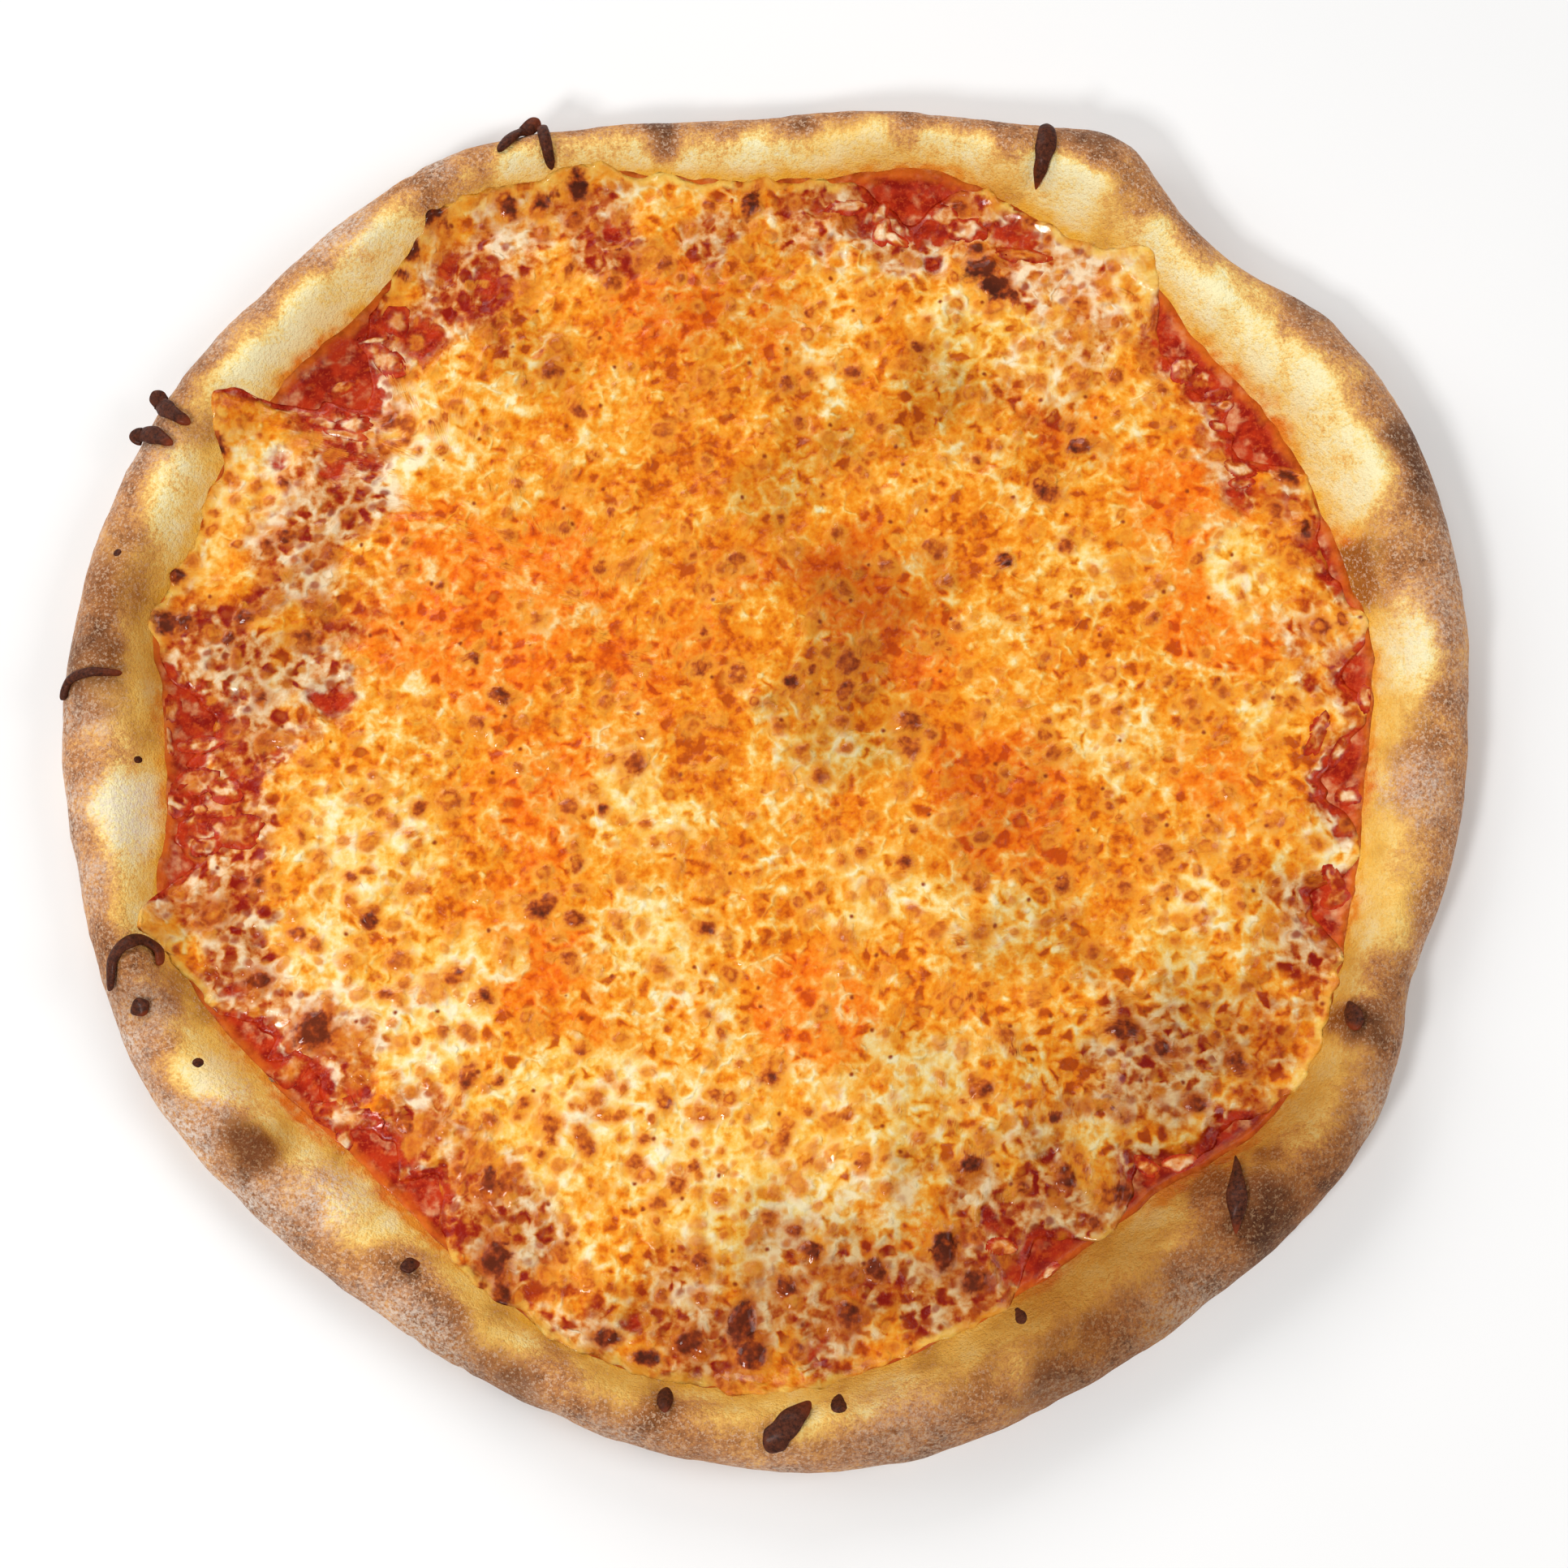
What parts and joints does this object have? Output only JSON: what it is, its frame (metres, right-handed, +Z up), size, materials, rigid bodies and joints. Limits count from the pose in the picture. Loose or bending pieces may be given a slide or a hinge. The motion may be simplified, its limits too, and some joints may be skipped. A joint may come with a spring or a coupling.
{
  "type": "cheese pizza",
  "caption": "Whole round baked cheese pizza: lumpy raised crust, tomato sauce, blistered melted cheese and burnt cheese shreds on the rim.",
  "frame": {"origin": "under the middle of the pizza, on the plane that its flat underside rests on", "axes": "+Z up out of the topping, +X towards the right-hand side and +Y towards the far side of the pizza as served"},
  "size_m": [0.3174, 0.3117, 0.0228],
  "materials": {
    "crust": "baked dough, matte, pale cream slope to brown floured edge",
    "tomato_sauce": "wet red tomato sauce",
    "cheese": "melted, oily, cream web with orange and brown blisters",
    "burnt_cheese": "burnt, near-black brown, slightly glossy"
  },
  "bodies": {
    "root": {"crust": "crust", "tomato_sauce": "tomato_sauce", "cheese": "cheese", "burnt_shred_1": "burnt_cheese", "burnt_shred_2": "burnt_cheese", "burnt_shred_3": "burnt_cheese", "burnt_shred_4": "burnt_cheese", "burnt_shred_5": "burnt_cheese", "burnt_shred_6": "burnt_cheese", "burnt_shred_7": "burnt_cheese", "burnt_shred_8": "burnt_cheese", "burnt_shred_9": "burnt_cheese", "burnt_shred_10": "burnt_cheese", "burnt_shred_11": "burnt_cheese", "burnt_shred_12": "burnt_cheese", "burnt_shred_13": "burnt_cheese"}
  },
  "joints": []
}
